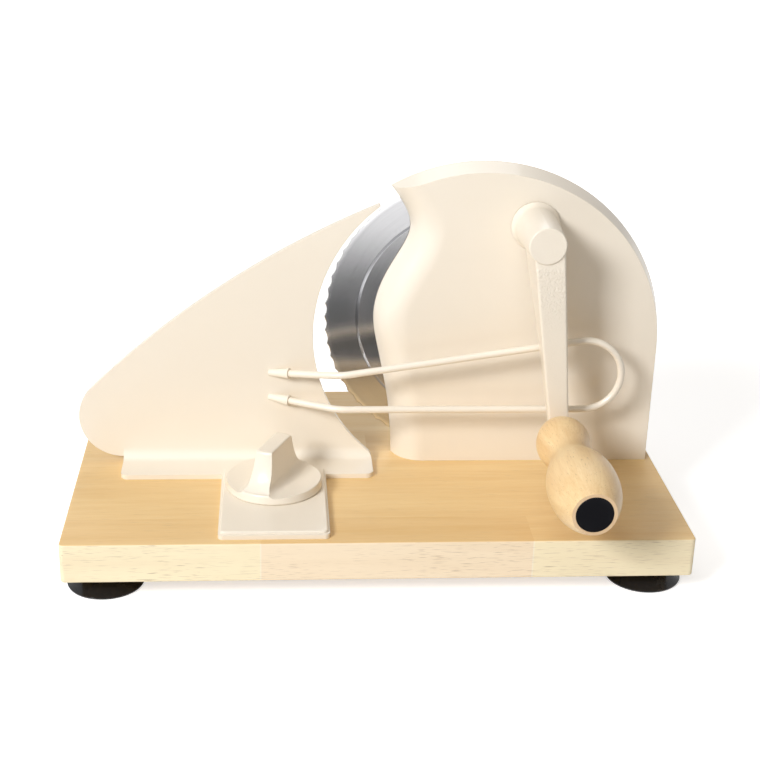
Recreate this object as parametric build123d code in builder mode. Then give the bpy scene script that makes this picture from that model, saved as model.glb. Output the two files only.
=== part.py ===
from build123d import *
from math import acos, atan2, cos, hypot, pi, radians, sin, sqrt, tan
import os

os.makedirs("parts", exist_ok=True)

# ---------------------------------------------------------------------------
# Driving dimensions, in millimetres.
# X runs along the board to the right, Y runs away from the person at the crank,
# Z runs up. Z = 0 is the table top, X = 0 is the middle of the board and Y = 0
# is half way between the front of the grip and the back of the board.
# ---------------------------------------------------------------------------

# board and feet
board_width = 380.0
board_depth = 235.0
board_thickness = 25.0
board_corner = 3.0
board_edge = 1.0
foot_height = 14.3
foot_rim = 23.5
foot_neck = 13.0
foot_inset_x = 23.6
foot_inset_y = 28.0

# housing, a tombstone outline cut by an S-shaped mouth on its left
housing_face_depth = 113.5
housing_depth = 16.5
housing_centre_x = 69.7
housing_centre_height = 80.3
housing_face_radius = 115.6
housing_flare = 4.0
housing_wall = 3.2
mouth_roll = 21.0
mouth_slope = 6.0
mouth_wall = 5.0

# drive
module_size = 1.5
pinion_teeth = 34
wheel_teeth = 69
backlash = 0.24
crank_x = 100.25
crank_height = 162.3
drive_lean = 29.8
shaft_radius = 5.0
running_gap = 0.04
press_gap = 0.02

# blade
blade_radius = 93.0
blade_thickness = 1.5
blade_clearance = 1.0
scallop_count = 63
scallop_depth = 1.1
scallop_width = 8.9
ring_radius = 71.0

# crank and grip
crank_length = 121.4
crank_lean = 6.7
hub_front = 45.8
hub_base_radius = 15.6
hub_front_radius = 11.1
arm_width_hub = 19.4
arm_width_grip = 12.6
arm_set_over = 1.3
grip_length = 114.4
grip_big_radius = 20.9
grip_small_radius = 16.8
grip_neck_radius = 12.4
cap_radius = 10.9
spindle_radius = 4.0

# guide plate, clamp and wire
plate_face_depth = 114.0
plate_thickness = 3.5
plate_left = -189.8
plate_foot_left = -162.0
plate_foot_right = 0.4
lobe_radius = 28.0
flange_front_depth = 87.5
flange_thickness = 3.2
tongue_width = 66.6
tongue_front_depth = 5.0
tongue_pad = 1.6
clamp_x = -64.0
clamp_depth = 69.3
knob_radius = 30.2
knob_height = 29.0
knob_turn = 24.0
wire_radius = 2.25
wire_depth = 92.0
wire_low = 46.3
loop_radius = 23.5
loop_x = 134.5
slide_in = 12.6
slide_out = 4.0

# ---------------------------------------------------------------------------
# Derived positions
# ---------------------------------------------------------------------------
hub_front_depth = housing_face_depth - hub_front
grip_rear_depth = hub_front_depth - 0.8
grip_front_depth = grip_rear_depth - grip_length
cap_front_depth = grip_front_depth - 0.2
board_front = -(board_depth + cap_front_depth) / 2
board_top = foot_height + board_thickness

face_y = board_front + housing_face_depth
rear_y = face_y + housing_depth
blade_y = rear_y + blade_clearance
crank_z = board_top + crank_height
centre_distance = module_size * (pinion_teeth + wheel_teeth) / 2
blade_x = crank_x - centre_distance * sin(radians(drive_lean))
blade_z = crank_z - centre_distance * cos(radians(drive_lean))
mesh_angle = 90 - drive_lean
housing_z = board_top + housing_centre_height
grip_x = crank_x + crank_length * sin(radians(crank_lean))
grip_z = crank_z - crank_length * cos(radians(crank_lean))
plate_y = board_front + plate_face_depth
plate_rear = plate_y + plate_thickness
wire_y = board_front + wire_depth
clamp_y = board_front + clamp_depth
tongue_top = board_top + flange_thickness + tongue_pad

crank_axis = Axis((crank_x, 0, crank_z), (0, 1, 0))
blade_axis = Axis((blade_x, 0, blade_z), (0, 1, 0))
grip_axis = Axis((grip_x, 0, grip_z), (0, 1, 0))


def at_y(y):
    """Upright plane at depth y, seen from the crank side: local axes are X and Z."""
    return Plane.XZ.offset(-y)


def beside(x, z):
    """Plane through a Y axis at (x, z): local axes are Y and Z, for turned profiles."""
    return Plane(origin=(x, 0, z), x_dir=(0, 1, 0), z_dir=(1, 0, 0))


def gear_points(teeth, turn, x, z):
    """Involute gear outline about (x, z), one tooth centred on the direction turn."""
    pitch = module_size * teeth / 2
    base = pitch * cos(radians(20))
    root = pitch - 1.25 * module_size
    tip = pitch + module_size
    half = pi / (2 * teeth) - backlash / (4 * pitch)
    involute_at_pitch = tan(radians(20)) - radians(20)
    radii = [root, pitch, tip]
    flank = []
    for radius in radii:
        pressure = acos(min(1.0, base / radius))
        spread = half + involute_at_pitch - (tan(pressure) - pressure)
        flank.append((radius, spread))
    points = []
    for tooth in range(teeth):
        middle = radians(turn) + 2 * pi * tooth / teeth
        for radius, spread in flank:
            side = middle - spread
            points.append((x + radius * cos(side), z + radius * sin(side)))
        for radius, spread in reversed(flank):
            side = middle + spread
            points.append((x + radius * cos(side), z + radius * sin(side)))
    return points


# ---------------------------------------------------------------------------
# Board
# ---------------------------------------------------------------------------
board_middle_y = board_front + board_depth / 2
foot_x = board_width / 2 - foot_inset_x
foot_y = board_depth / 2 - foot_inset_y
screw_positions = [32.0, 80.0, 128.0, 170.0]
screw_y = face_y + 9.6
screw_head_depth = 9.0
key_length = 24.0
key_width = 10.0
key_sink = 3.0
stud_radius = 4.0
tee_flange = 11.0
tee_barrel = 5.5

with BuildPart() as base_board:
    with BuildSketch(Plane.XY.offset(foot_height)) as board_plan:
        with Locations((0, board_middle_y)):
            RectangleRounded(board_width, board_depth, board_corner)
    extrude(amount=board_thickness)
    top_edges = base_board.faces().sort_by(Axis.Z)[-1].edges()
    bottom_edges = base_board.faces().sort_by(Axis.Z)[0].edges()
    fillet(top_edges + bottom_edges, radius=board_edge)
    # foot screw pilot holes
    with BuildSketch(Plane.XY.offset(foot_height)) as pilots:
        with Locations((0, board_middle_y)):
            with GridLocations(2 * foot_x, 2 * foot_y, 2, 2):
                Circle(2.05)
    extrude(amount=17, mode=Mode.SUBTRACT)
    # housing screws: clearance holes with sunk heads underneath
    with BuildSketch(Plane.XY.offset(foot_height)) as shanks:
        with Locations([(x, screw_y) for x in screw_positions]):
            Circle(2.8)
    extrude(amount=board_thickness, mode=Mode.SUBTRACT)
    with BuildSketch(Plane.XY.offset(foot_height)) as heads:
        with Locations([(x, screw_y) for x in screw_positions]):
            Circle(6.0)
    extrude(amount=screw_head_depth, mode=Mode.SUBTRACT)
    # clamp stud with its tee nut and the pocket of the slide key
    with BuildSketch(Plane.XY.offset(foot_height)) as stud_hole:
        with Locations((clamp_x, clamp_y)):
            Circle(tee_barrel + 0.05)
    extrude(amount=board_thickness, mode=Mode.SUBTRACT)
    with BuildSketch(Plane.XY.offset(foot_height)) as flange_hole:
        with Locations((clamp_x, clamp_y)):
            Circle(tee_flange + 0.1)
    extrude(amount=1.7, mode=Mode.SUBTRACT)
    with BuildSketch(Plane.XY.offset(board_top - key_sink)) as key_pocket:
        with Locations((clamp_x, clamp_y)):
            SlotOverall(key_length + 0.1, key_width + 0.1, rotation=90)
    extrude(amount=key_sink, mode=Mode.SUBTRACT)

base_board.part.label = "base_board"
export_step(base_board.part, "parts/base_board.step")


# ---------------------------------------------------------------------------
# Suction feet, one at each corner, each held by a screw inside its cup
# ---------------------------------------------------------------------------
foot_places = {
    "foot_front_left": (-foot_x, board_middle_y - foot_y),
    "foot_front_right": (foot_x, board_middle_y - foot_y),
    "foot_rear_left": (-foot_x, board_middle_y + foot_y),
    "foot_rear_right": (foot_x, board_middle_y + foot_y),
}

for foot_name, (x, y) in foot_places.items():
    with BuildPart() as foot:
        with BuildSketch(Plane.XZ.offset(-y)) as cup:
            with BuildLine() as cup_line:
                outer = Spline(
                    (x + foot_neck, foot_height - 3.4),
                    (x + 17.2, 5.6),
                    (x + foot_rim, 1.0),
                    tangents=[(0, -1), (0.72, -0.5)],
                )
                Line(outer @ 1, (x + foot_rim - 0.4, 0))
                Line((x + foot_rim - 0.4, 0), (x + foot_rim - 1.8, 0))
                under = Spline(
                    (x + foot_rim - 1.8, 0),
                    (x + 15.0, 3.4),
                    (x + 4.6, 5.0),
                    tangents=[(-0.8, 0.45), (-1, 0.02)],
                )
                Line(under @ 1, (x + 4.6, 8.1))
                Line((x + 4.6, 8.1), (x + 2.1, 8.1))
                Line((x + 2.1, 8.1), (x + 2.1, foot_height))
                Line((x + 2.1, foot_height), (x + foot_neck, foot_height))
                Line((x + foot_neck, foot_height), outer @ 0)
            make_face()
        revolve(axis=Axis((x, y, 0), (0, 0, 1)))

    foot.part.label = foot_name
    export_step(foot.part, "parts/" + foot_name + ".step")

with BuildPart() as foot_screws:
    with BuildSketch(Plane.XY.offset(5.2)) as foot_heads:
        with Locations((0, board_middle_y)):
            with GridLocations(2 * foot_x, 2 * foot_y, 2, 2):
                Circle(4.2)
    extrude(amount=2.9)
    chamfer(foot_screws.faces().filter_by(Axis.Z).group_by(Axis.Z)[0].edges(), length=0.9)
    with BuildSketch(Plane.XY.offset(8.1)) as foot_shanks:
        with Locations((0, board_middle_y)):
            with GridLocations(2 * foot_x, 2 * foot_y, 2, 2):
                Circle(2.0)
    extrude(amount=foot_height + 16 - 8.1)

foot_screws.part.label = "foot_screws"
export_step(foot_screws.part, "parts/foot_screws.step")


# ---------------------------------------------------------------------------
# Housing: a shallow cast shell. The mouth on its left follows an S-curve and
# rolls back towards the blade, so that a slice is led out over the face.
# ---------------------------------------------------------------------------
mouth_points = [
    (-30.0, 222.0),
    (-4.0, 198.0),
    (15.9, 175.4),
    (22.8, 158.0),
    (15.6, 139.5),
    (4.4, 117.0),
    (0.6, 97.0),
    (3.2, 78.0),
    (9.6, 48.0),
    (13.4, 20.0),
    (14.6, -12.0),
    (14.6, -44.0),
]


def tombstone(radius, x, z):
    """Half round above, straight sides below, running down past the board."""
    with BuildLine() as outline:
        CenterArc((x, z), radius, 0, 180)
        Line((x - radius, z), (x - radius, board_top - 20))
        Line((x - radius, board_top - 20), (x + radius, board_top - 20))
        Line((x + radius, board_top - 20), (x + radius, z))
    return outline.edges()


def mouth_region(shift):
    """Everything to the right of the mouth curve, moved right by shift."""
    curve = [(x + shift, board_top + z) for x, z in mouth_points]
    start, end = curve[0], curve[-1]
    far = housing_centre_x + 2 * housing_face_radius
    with BuildLine() as outline:
        Spline(*curve)
        Line(end, (far, end[1]))
        Line((far, end[1]), (far, start[1] + 60))
        Line((far, start[1] + 60), (start[0] + 40, start[1] + 60))
        Line((start[0] + 40, start[1] + 60), start)
    return outline.edges()


def rolled_block(rear, front, shift, slope, roll):
    """Block right of the mouth curve, its front edge rolled over with a large radius."""
    with BuildPart() as block:
        with BuildSketch(at_y(rear)) as rear_section:
            make_face(mouth_region(shift))
        with BuildSketch(at_y(front)) as front_section:
            make_face(mouth_region(shift + slope))
        loft()
        face = block.faces().filter_by(Axis.Y).sort_by(Axis.Y)[0]
        fillet(face.edges().filter_by(GeomType.BSPLINE), radius=roll)
    return block.part


mouth_block = rolled_block(rear_y, face_y, 0.0, mouth_slope, mouth_roll)
hollow_front = face_y + housing_wall
cavity_block = rolled_block(rear_y + 1, hollow_front, mouth_wall, mouth_slope - 1, mouth_roll - 4)

cavity_rear_radius = housing_face_radius + housing_flare - housing_wall
with BuildPart() as cavity:
    with BuildSketch(at_y(rear_y + 1)) as cavity_rear:
        make_face(tombstone(cavity_rear_radius, housing_centre_x, housing_z))
    with BuildSketch(at_y(hollow_front)) as cavity_front:
        make_face(tombstone(housing_face_radius - housing_wall, housing_centre_x, housing_z))
    loft()
    add(cavity_block, mode=Mode.INTERSECT)

screw_boss = 5.4
foot_web = 6.0
axle_boss = 11.5
shaft_boss = 11.0
boss_end = face_y + 10.9

with BuildPart() as housing:
    with BuildSketch(at_y(rear_y)) as shell_rear:
        make_face(tombstone(housing_face_radius + housing_flare, housing_centre_x, housing_z))
    with BuildSketch(at_y(face_y)) as shell_front:
        make_face(tombstone(housing_face_radius, housing_centre_x, housing_z))
    loft()
    add(cavity.part, mode=Mode.SUBTRACT)
    # foot web with the screw bosses
    with BuildSketch(Plane.XY.offset(board_top)) as web:
        with Locations((100.0, face_y + 8.4)):
            Rectangle(170.0, 13.6)
    extrude(amount=foot_web)
    with BuildSketch(Plane.XY.offset(board_top)) as screw_bosses:
        with Locations([(x, screw_y) for x in screw_positions]):
            Circle(screw_boss)
    extrude(amount=21.0)
    # bearing bosses behind the face
    with BuildSketch(at_y(boss_end)) as bearing_bosses:
        with Locations((crank_x, crank_z)):
            Circle(shaft_boss)
        with Locations((blade_x, blade_z)):
            Circle(axle_boss)
    extrude(amount=boss_end - face_y - 1.5)
    # ribs that tie the two bosses to the foot
    with BuildSketch(at_y(face_y + 7.6)) as ribs:
        with BuildLine() as rib_line:
            Polyline((blade_x, blade_z), (crank_x, crank_z))
        trace(line_width=2.6)
        with BuildLine() as left_rib:
            Polyline((blade_x, blade_z), (screw_positions[0], board_top + 10))
        trace(line_width=2.6)
        with BuildLine() as right_rib:
            Polyline((blade_x, blade_z), (screw_positions[2], board_top + 10))
        trace(line_width=2.6)
        with BuildLine() as side_rib:
            Polyline((crank_x, crank_z), (screw_positions[3], board_top + 10))
        trace(line_width=2.6)
    extrude(amount=6.0)
    # the rolled mouth trims all of it on the left
    add(mouth_block, mode=Mode.INTERSECT)
    # everything below the board's surface goes
    with BuildSketch(Plane.XY.offset(board_top - 40)) as below:
        with Locations((housing_centre_x, face_y)):
            Rectangle(400, 200)
    extrude(amount=40, mode=Mode.SUBTRACT)
    # bush seat through the face and blind seat of the blade axle
    with BuildSketch(at_y(boss_end)) as bush_seat:
        with Locations((crank_x, crank_z)):
            Circle(shaft_radius + 2 + press_gap)
    extrude(amount=boss_end - face_y + 1, mode=Mode.SUBTRACT)
    with BuildSketch(at_y(boss_end)) as axle_seat:
        with Locations((blade_x, blade_z)):
            Circle(6.0 + press_gap)
    extrude(amount=boss_end - face_y - 2.0, mode=Mode.SUBTRACT)
    # threaded seats of the screws from below
    with BuildSketch(Plane.XY.offset(board_top)) as screw_seats:
        with Locations([(x, screw_y) for x in screw_positions]):
            Circle(2.5 + press_gap)
    extrude(amount=17.0, mode=Mode.SUBTRACT)

housing.part.label = "housing"
export_step(housing.part, "parts/housing.step")

with BuildPart() as housing_screws:
    with BuildSketch(Plane.XY.offset(foot_height + screw_head_depth - 4)) as cheese_heads:
        with Locations([(x, screw_y) for x in screw_positions]):
            Circle(4.7)
    extrude(amount=4.0)
    chamfer(housing_screws.faces().filter_by(Axis.Z).group_by(Axis.Z)[0].edges(), length=0.7)
    with BuildSketch(Plane.XY.offset(foot_height + screw_head_depth)) as screw_shanks:
        with Locations([(x, screw_y) for x in screw_positions]):
            Circle(2.5)
    extrude(amount=board_thickness - screw_head_depth + 15.5)

housing_screws.part.label = "housing_screws"
export_step(housing_screws.part, "parts/housing_screws.step")


# ---------------------------------------------------------------------------
# Blade: flat towards the loaf, ground thin towards its rim on the crank side,
# with scallops ground into the rim from the same side
# ---------------------------------------------------------------------------
blade_rear = blade_y + blade_thickness
rim_front = blade_rear - 0.45
bush_outer = 7.0
rivet_circle = 26.0
rivet_radius = 2.0

with BuildPart() as blade:
    with BuildSketch(beside(blade_x, 0)) as blade_profile:
        with BuildLine() as blade_line:
            Polyline(
                (blade_rear, blade_z + bush_outer + press_gap),
                (blade_rear, blade_z + blade_radius),
                (rim_front, blade_z + blade_radius),
                (blade_y + 0.55, blade_z + ring_radius + 1.6),
                (blade_y, blade_z + ring_radius),
                (blade_y, blade_z + bush_outer + press_gap),
                close=True,
            )
        make_face()
    revolve(axis=blade_axis)
    # scallops: cones that open towards the crank side
    chord = scallop_width / 2
    scallop_radius = (chord ** 2 + scallop_depth ** 2) / (2 * scallop_depth)
    scallop_centre = blade_radius - scallop_depth + scallop_radius
    with Locations(at_y(blade_rear + 0.2)):
        with Locations((blade_x, blade_z)):
            with PolarLocations(scallop_centre, scallop_count):
                Cone(
                    scallop_radius - 0.35,
                    scallop_radius + 1.2,
                    1.6,
                    align=(Align.CENTER, Align.CENTER, Align.MIN),
                    mode=Mode.SUBTRACT,
                )
    with BuildSketch(at_y(blade_rear + 1)) as blade_rivet_holes:
        with Locations((blade_x, blade_z)):
            with PolarLocations(rivet_circle, 6):
                Circle(rivet_radius + press_gap)
    extrude(amount=4, mode=Mode.SUBTRACT)

blade.part.label = "blade"
export_step(blade.part, "parts/blade.step")


# ---------------------------------------------------------------------------
# Gear pair: the wheel is riveted to the blade, the pinion sits on the shaft
# ---------------------------------------------------------------------------
wheel_width = 5.0
wheel_front = blade_y - wheel_width
pinion_front = blade_y - 6.0
pinion_width = 5.4
pinion_rear = pinion_front + pinion_width
wheel_rim = module_size * wheel_teeth / 2 - 7.0

with BuildPart() as blade_gear:
    with BuildSketch(at_y(blade_y)) as wheel_outline:
        with BuildLine() as wheel_line:
            Polyline(*gear_points(wheel_teeth, mesh_angle, blade_x, blade_z), close=True)
        make_face()
        with Locations((blade_x, blade_z)):
            Circle(bush_outer + press_gap, mode=Mode.SUBTRACT)
    extrude(amount=wheel_width)
    # thinner web between rim and hub, hub standing forward to the washer
    with BuildSketch(at_y(wheel_front + 1.8)) as web_recess:
        with Locations((blade_x, blade_z)):
            Circle(wheel_rim)
            Circle(14.0, mode=Mode.SUBTRACT)
    extrude(amount=3, mode=Mode.SUBTRACT)
    with BuildSketch(at_y(wheel_front)) as wheel_hub:
        with Locations((blade_x, blade_z)):
            Circle(11.5)
            Circle(bush_outer + press_gap, mode=Mode.SUBTRACT)
    extrude(amount=0.7)
    with BuildSketch(at_y(blade_y + 1)) as wheel_rivet_holes:
        with Locations((blade_x, blade_z)):
            with PolarLocations(rivet_circle, 6):
                Circle(rivet_radius + press_gap)
    extrude(amount=8, mode=Mode.SUBTRACT)

blade_gear.part.label = "blade_gear"
export_step(blade_gear.part, "parts/blade_gear.step")

with BuildPart() as gear_rivets:
    with BuildSketch(at_y(blade_rear)) as rivet_shanks:
        with Locations((blade_x, blade_z)):
            with PolarLocations(rivet_circle, 6):
                Circle(rivet_radius)
    extrude(amount=blade_rear - wheel_front - 1.8)
    with BuildSketch(at_y(blade_rear + 0.8)) as rivet_heads:
        with Locations((blade_x, blade_z)):
            with PolarLocations(rivet_circle, 6):
                Circle(3.6)
    extrude(amount=0.8)
    with BuildSketch(at_y(wheel_front + 1.8)) as rivet_tails:
        with Locations((blade_x, blade_z)):
            with PolarLocations(rivet_circle, 6):
                Circle(3.2)
    extrude(amount=0.8)
    chamfer(gear_rivets.faces().group_by(Axis.Y)[-1].edges(), length=0.4)

gear_rivets.part.label = "gear_rivets"
export_step(gear_rivets.part, "parts/gear_rivets.step")

with BuildPart() as pinion:
    with BuildSketch(at_y(pinion_rear)) as pinion_outline:
        with BuildLine() as pinion_line:
            pinion_turn = mesh_angle + 180 + 180 / pinion_teeth
            Polyline(*gear_points(pinion_teeth, pinion_turn, crank_x, crank_z), close=True)
        make_face()
        with Locations((crank_x, crank_z)):
            Rectangle(8.04, 8.04, mode=Mode.SUBTRACT)
    extrude(amount=pinion_width)
    with BuildSketch(at_y(pinion_rear)) as screw_recess:
        with Locations((crank_x, crank_z)):
            Circle(6.4)
    extrude(amount=2.4, mode=Mode.SUBTRACT)

pinion.part.label = "pinion"
export_step(pinion.part, "parts/pinion.step")


# ---------------------------------------------------------------------------
# Blade bearing: axle pressed into the housing, bush in the gear, thrust washer,
# coin-slotted screw that lets the blade be taken off
# ---------------------------------------------------------------------------
axle_seat_end = face_y + 2.2
axle_end = blade_rear + 0.9
bush_front = boss_end + 0.75
bush_end = blade_rear + 0.7

with BuildPart() as blade_axle:
    with BuildSketch(at_y(boss_end)) as axle_press:
        with Locations((blade_x, blade_z)):
            Circle(6.0)
    extrude(amount=boss_end - axle_seat_end)
    with BuildSketch(at_y(axle_end)) as axle_journal:
        with Locations((blade_x, blade_z)):
            Circle(5.0)
    extrude(amount=axle_end - boss_end)
    with BuildSketch(at_y(axle_end)) as axle_bore:
        with Locations((blade_x, blade_z)):
            Circle(3.0 + running_gap)
    extrude(amount=14.0, mode=Mode.SUBTRACT)

blade_axle.part.label = "blade_axle"
export_step(blade_axle.part, "parts/blade_axle.step")

with BuildPart() as thrust_washer:
    with BuildSketch(at_y(boss_end + 0.5)) as washer_ring:
        with Locations((blade_x, blade_z)):
            Circle(10.5)
            Circle(5.0 + running_gap, mode=Mode.SUBTRACT)
    extrude(amount=0.5)

thrust_washer.part.label = "thrust_washer"
export_step(thrust_washer.part, "parts/thrust_washer.step")

with BuildPart() as blade_bush:
    with BuildSketch(at_y(bush_end)) as bush_ring:
        with Locations((blade_x, blade_z)):
            Circle(bush_outer)
            Circle(5.0 + running_gap, mode=Mode.SUBTRACT)
    extrude(amount=bush_end - bush_front)

blade_bush.part.label = "blade_bush"
export_step(blade_bush.part, "parts/blade_bush.step")

screw_head_rear = axle_end + 2.8
with BuildPart() as blade_screw:
    with BuildSketch(beside(blade_x, 0)) as screw_profile:
        with BuildLine() as screw_line:
            Line((axle_end - 12.5, blade_z), (axle_end - 12.5, blade_z + 3.0))
            Line((axle_end - 12.5, blade_z + 3.0), (axle_end, blade_z + 3.0))
            Line((axle_end, blade_z + 3.0), (axle_end, blade_z + 12.0))
            Line((axle_end, blade_z + 12.0), (axle_end + 1.0, blade_z + 12.0))
            ThreePointArc(
                (axle_end + 1.0, blade_z + 12.0),
                (axle_end + 2.3, blade_z + 8.0),
                (screw_head_rear, blade_z),
            )
            Line((screw_head_rear, blade_z), (axle_end - 12.5, blade_z))
        make_face()
    revolve(axis=blade_axis)
    with BuildSketch(at_y(screw_head_rear)) as coin_slot:
        with Locations((blade_x, blade_z)):
            SlotOverall(17.0, 2.2, rotation=30)
    extrude(amount=1.5, mode=Mode.SUBTRACT)

blade_screw.part.label = "blade_screw"
export_step(blade_screw.part, "parts/blade_screw.step")


# ---------------------------------------------------------------------------
# Crank bearing and shaft
# ---------------------------------------------------------------------------
shaft_front = board_front + hub_front_depth + 8.0
crank_rear = face_y - 0.7

with BuildPart() as crank_bush:
    with BuildSketch(at_y(boss_end)) as bearing_ring:
        with Locations((crank_x, crank_z)):
            Circle(bush_outer)
            Circle(shaft_radius + running_gap, mode=Mode.SUBTRACT)
    extrude(amount=boss_end - face_y - 0.1)

crank_bush.part.label = "crank_bush"
export_step(crank_bush.part, "parts/crank_bush.step")

with BuildPart() as shaft_washer:
    with BuildSketch(at_y(pinion_front - 0.1)) as shaft_ring:
        with Locations((crank_x, crank_z)):
            Circle(10.0)
            Circle(shaft_radius + running_gap, mode=Mode.SUBTRACT)
    extrude(amount=pinion_front - 0.1 - boss_end - 0.05)

shaft_washer.part.label = "shaft_washer"
export_step(shaft_washer.part, "parts/shaft_washer.step")

with BuildPart() as crank_shaft:
    with BuildSketch(at_y(pinion_front)) as shaft_round:
        with Locations((crank_x, crank_z)):
            Circle(shaft_radius)
    extrude(amount=pinion_front - shaft_front)
    with BuildSketch(at_y(pinion_rear - 2.45)) as shaft_square:
        with Locations((crank_x, crank_z)):
            RectangleRounded(8.0, 8.0, 0.8)
    extrude(amount=pinion_rear - 2.45 - pinion_front)
    with BuildSketch(at_y(pinion_rear)) as shaft_bore:
        with Locations((crank_x, crank_z)):
            Circle(2.0 + press_gap)
    extrude(amount=14.0, mode=Mode.SUBTRACT)
    # flat for the set screw, facing the right-hand side of the arm
    with BuildSketch(at_y(face_y - 12.0)) as shaft_flat:
        with Locations(Location((crank_x, crank_z), crank_lean)):
            with Locations((shaft_radius, 0)):
                Rectangle(1.2, 12.0)
    extrude(amount=14.0, mode=Mode.SUBTRACT)

crank_shaft.part.label = "crank_shaft"
export_step(crank_shaft.part, "parts/crank_shaft.step")

with BuildPart() as pinion_screw:
    with BuildSketch(beside(crank_x, 0)) as flat_head:
        with BuildLine() as flat_head_line:
            Polyline(
                (pinion_rear - 0.1, crank_z),
                (pinion_rear - 0.1, crank_z + 5.6),
                (pinion_rear - 2.35, crank_z + 5.6),
                (pinion_rear - 2.35, crank_z + 2.0),
                (pinion_rear - 12.0, crank_z + 2.0),
                (pinion_rear - 12.0, crank_z),
                close=True,
            )
        make_face()
    revolve(axis=crank_axis)

pinion_screw.part.label = "pinion_screw"
export_step(pinion_screw.part, "parts/pinion_screw.step")


# ---------------------------------------------------------------------------
# Crank: cast hub and arm. The arm is deep beside the hub and thins out in a
# hollow curve towards the grip, and it narrows on the way.
# ---------------------------------------------------------------------------
hub_y = board_front + hub_front_depth
arm_front = hub_y + 1.0
lean = radians(crank_lean)


def on_arm(along, across):
    """Point in the X-Z plane: along the arm from the hub, across it to the right."""
    x = crank_x + along * sin(lean) + across * cos(lean)
    z = crank_z - along * cos(lean) + across * sin(lean)
    return (x, z)


arm_side = Plane(
    origin=(crank_x, 0, crank_z),
    x_dir=(sin(lean), 0, -cos(lean)),
    z_dir=(cos(lean), 0, sin(lean)),
)

arm_left_hub = arm_set_over - arm_width_hub / 2
arm_right_hub = arm_set_over + arm_width_hub / 2
arm_left_grip = arm_set_over - arm_width_grip / 2
arm_right_grip = arm_set_over + arm_width_grip / 2

with BuildPart() as arm_block:
    with BuildSketch(at_y(face_y - 2)) as arm_outline:
        with BuildLine() as arm_outline_line:
            Line(on_arm(0, arm_left_hub), on_arm(crank_length, arm_left_grip))
            ThreePointArc(
                on_arm(crank_length, arm_left_grip),
                on_arm(crank_length + 8.0, arm_set_over),
                on_arm(crank_length, arm_right_grip),
            )
            Line(on_arm(crank_length, arm_right_grip), on_arm(0, arm_right_hub))
            Line(on_arm(0, arm_right_hub), on_arm(0, arm_left_hub))
        make_face()
    extrude(amount=face_y - 2 - arm_front)
    with BuildSketch(arm_side) as arm_profile:
        with BuildLine() as arm_profile_line:
            back = Spline(
                (0.0, arm_front + 43.5),
                (12.0, arm_front + 40.0),
                (28.0, arm_front + 33.0),
                (46.0, arm_front + 25.0),
                (64.0, arm_front + 16.8),
                (82.0, arm_front + 10.8),
                (100.0, arm_front + 8.0),
                (crank_length + 9.0, arm_front + 7.6),
            )
            Line(back @ 1, (crank_length + 9.0, arm_front))
            Line((crank_length + 9.0, arm_front), (0.0, arm_front))
            Line((0.0, arm_front), back @ 0)
        make_face()
    extrude(amount=20, both=True, mode=Mode.INTERSECT)
    front_edges = arm_block.faces().sort_by(Axis.Y)[0].edges()
    fillet(front_edges, radius=1.6)

with BuildPart() as crank:
    with BuildSketch(beside(crank_x, 0)) as hub_profile:
        with BuildLine() as hub_line:
            Line((crank_rear, crank_z), (crank_rear, crank_z + hub_base_radius))
            Line(
                (crank_rear, crank_z + hub_base_radius),
                (crank_rear - 1.2, crank_z + hub_base_radius),
            )
            ThreePointArc(
                (crank_rear - 1.2, crank_z + hub_base_radius),
                (crank_rear - 3.3, crank_z + hub_base_radius - 1.25),
                (crank_rear - 7.5, crank_z + hub_base_radius - 2.0),
            )
            Line(
                (crank_rear - 7.5, crank_z + hub_base_radius - 2.0),
                (hub_y + 0.9, crank_z + hub_front_radius + 0.5),
            )
            ThreePointArc(
                (hub_y + 0.9, crank_z + hub_front_radius + 0.5),
                (hub_y + 0.25, crank_z + hub_front_radius + 0.25),
                (hub_y, crank_z + hub_front_radius - 0.5),
            )
            Line((hub_y, crank_z + hub_front_radius - 0.5), (hub_y, crank_z))
            Line((hub_y, crank_z), (crank_rear, crank_z))
        make_face()
    revolve(axis=crank_axis)
    add(arm_block.part)
    with BuildSketch(at_y(face_y + 1)) as hub_bore:
        with Locations((crank_x, crank_z)):
            Circle(shaft_radius + press_gap)
    extrude(amount=face_y + 1 - shaft_front + 0.3, mode=Mode.SUBTRACT)
    with BuildSketch(at_y(arm_front + 9)) as spindle_hole:
        with Locations((grip_x, grip_z)):
            Circle(spindle_radius + press_gap)
    extrude(amount=12, mode=Mode.SUBTRACT)
    # threaded hole of the set screw, out of sight on the right of the hub
    screw_hole_y = face_y - 18.0
    with BuildSketch(
        Plane(
            origin=(crank_x, screw_hole_y, crank_z),
            x_dir=(0, 1, 0),
            z_dir=(cos(lean), 0, sin(lean)),
        )
    ) as set_screw_hole:
        Circle(2.5 + press_gap)
    extrude(amount=20, mode=Mode.SUBTRACT)

crank.part.label = "crank"
export_step(crank.part, "parts/crank.step")

with BuildPart() as crank_set_screw:
    with BuildSketch(
        Plane(
            origin=(crank_x, screw_hole_y, crank_z),
            x_dir=(0, 1, 0),
            z_dir=(cos(lean), 0, sin(lean)),
        ).offset(4.42)
    ) as grub:
        Circle(2.5)
    extrude(amount=7.4)
    with BuildSketch(
        Plane(
            origin=(crank_x, screw_hole_y, crank_z),
            x_dir=(0, 1, 0),
            z_dir=(cos(lean), 0, sin(lean)),
        ).offset(11.82)
    ) as grub_key:
        RegularPolygon(1.25, 6)
    extrude(amount=-2.5, mode=Mode.SUBTRACT)

crank_set_screw.part.label = "crank_set_screw"
export_step(crank_set_screw.part, "parts/crank_set_screw.step")


# ---------------------------------------------------------------------------
# Grip: turned wood on a shouldered spindle, closed by a cap
# ---------------------------------------------------------------------------
grip_rear = board_front + grip_rear_depth
grip_front = board_front + grip_front_depth
cap_seat = 3.0
head_seat = 15.5
collar_front = grip_rear + 0.1

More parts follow.
